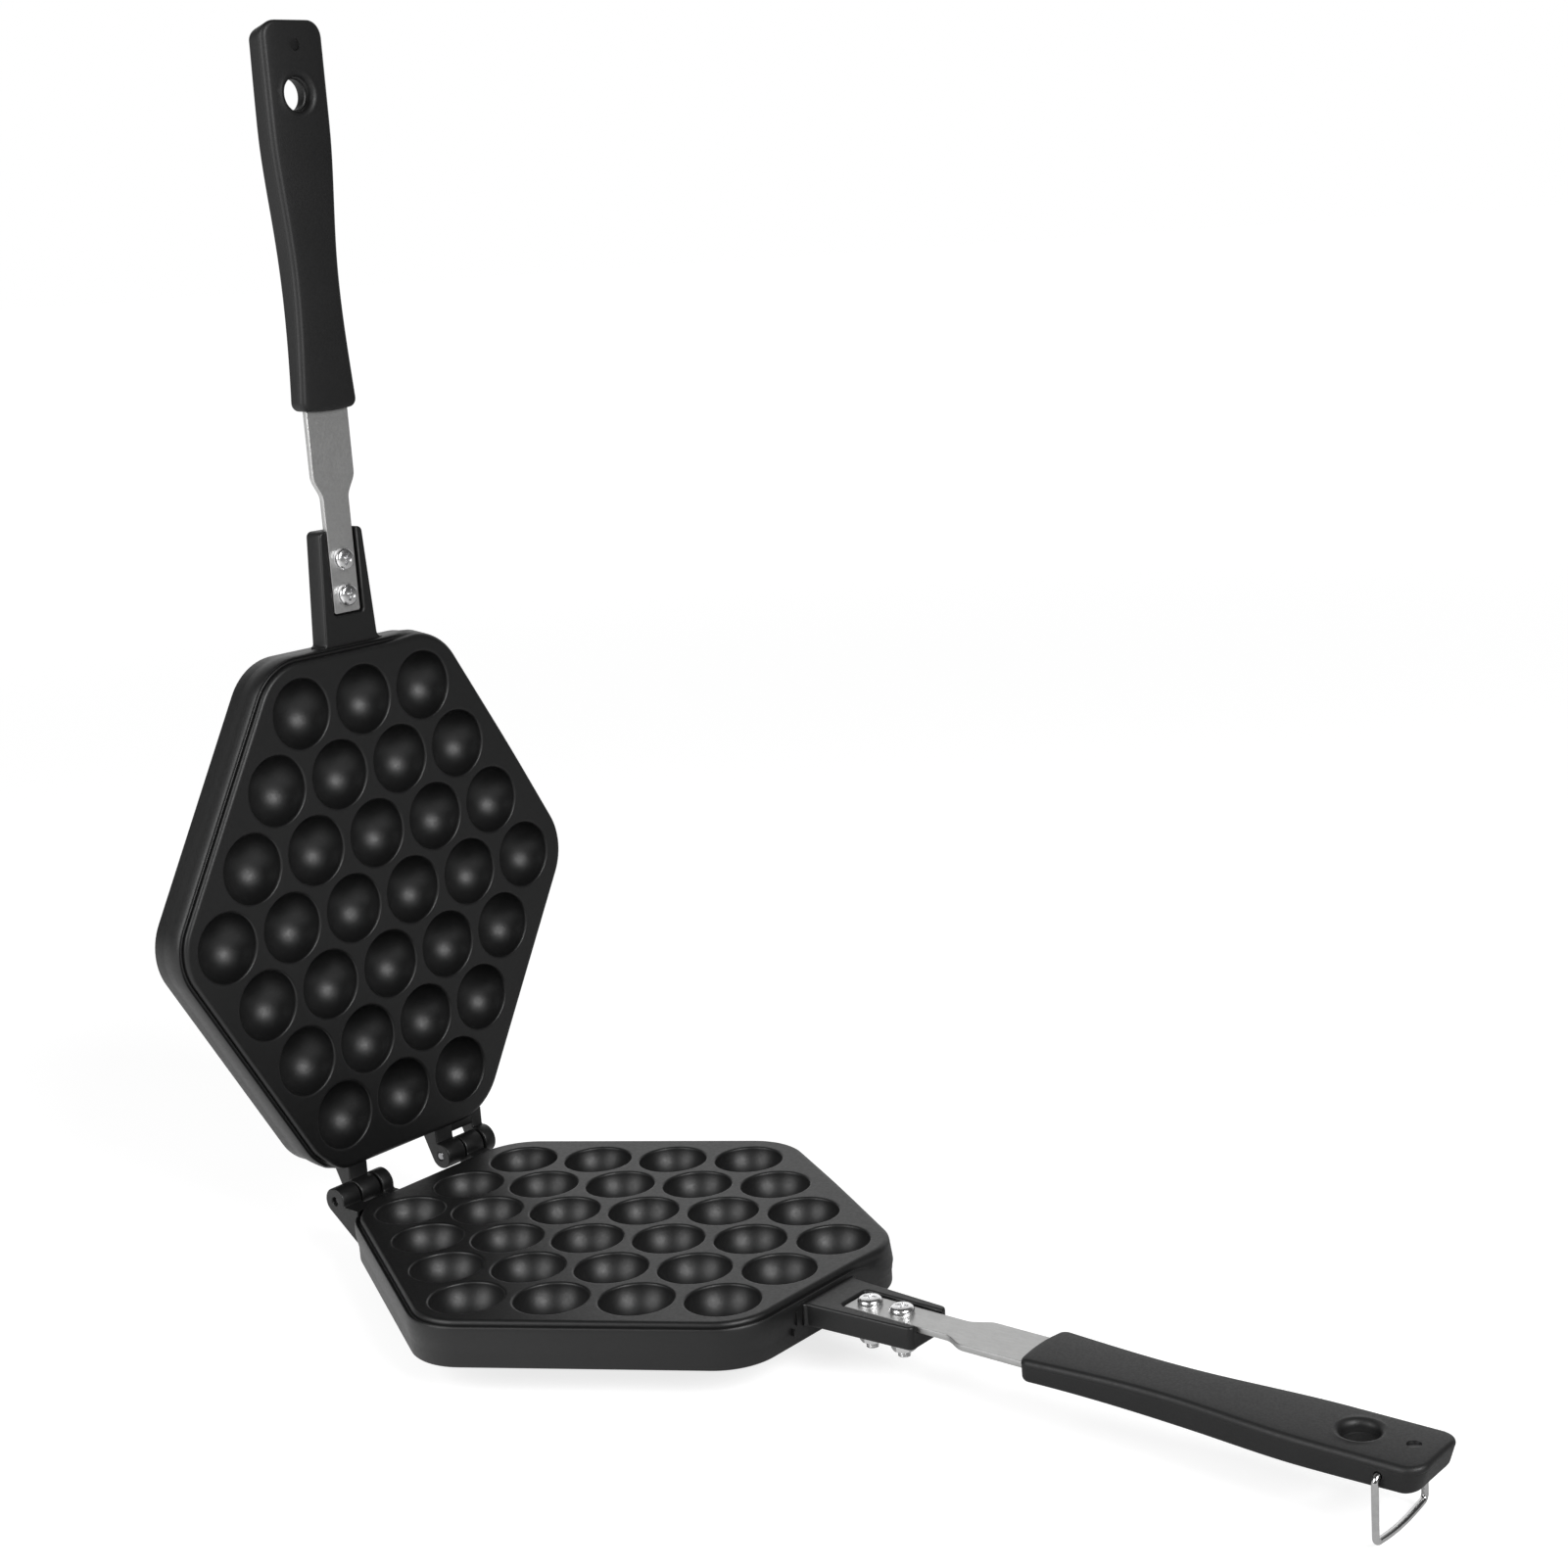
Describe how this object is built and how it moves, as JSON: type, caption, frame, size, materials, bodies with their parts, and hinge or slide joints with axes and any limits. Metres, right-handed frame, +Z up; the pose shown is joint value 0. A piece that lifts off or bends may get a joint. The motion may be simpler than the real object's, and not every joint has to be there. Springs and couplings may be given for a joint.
{
  "type": "egg waffle pan",
  "caption": "Hinged stovetop pan for egg waffles: two hexagonal cast plates with half-round cups, steel tangs with moulded grips, and a wire bail on the lower grip.",
  "frame": {"origin": "centre of the lower plate's skirt, on the plane that its lower edge stands on", "axes": "+X from the hinge towards the lower handle, +Z up; the hinge runs along Y"},
  "size_m": [0.4161, 0.1771, 0.4249],
  "materials": {
    "coated_casting": "satin",
    "hinge_steel": "satin",
    "tang_steel": "satin",
    "zinc_plate": "gloss",
    "grip_plastic": "matte",
    "wire_steel": "gloss"
  },
  "bodies": {
    "lower_half": {"lower_plate": "coated_casting", "lower_tang": "tang_steel", "lower_grip": "grip_plastic", "lower_inner_screw": "zinc_plate", "lower_inner_flat_washer": "zinc_plate", "lower_inner_spring_washer": "zinc_plate", "lower_inner_nut": "zinc_plate", "lower_outer_screw": "zinc_plate", "lower_outer_flat_washer": "zinc_plate", "lower_outer_spring_washer": "zinc_plate", "lower_outer_nut": "zinc_plate", "near_hinge_pin": "hinge_steel"},
    "upper_half": {"upper_plate": "coated_casting", "upper_tang": "tang_steel", "upper_grip": "grip_plastic", "upper_inner_screw": "zinc_plate", "upper_inner_flat_washer": "zinc_plate", "upper_inner_spring_washer": "zinc_plate", "upper_inner_nut": "zinc_plate", "upper_outer_screw": "zinc_plate", "upper_outer_flat_washer": "zinc_plate", "upper_outer_spring_washer": "zinc_plate", "upper_outer_nut": "zinc_plate", "far_hinge_pin": "hinge_steel"},
    "bail": {"wire_bail": "wire_steel"}
  },
  "joints": [
    {"name": "plate_hinge", "type": "hinge", "parent": "lower_half", "child": "upper_half", "pos_m": [-0.1006, 0, 0.01535], "axis": [0, 1, 0], "range_deg": [0, 90]},
    {"name": "bail_swing", "type": "hinge", "parent": "lower_half", "child": "bail", "pos_m": [0.2853, 0, 0.0097], "axis": [0, -1, 0], "range_deg": [-65, 195]}
  ]
}
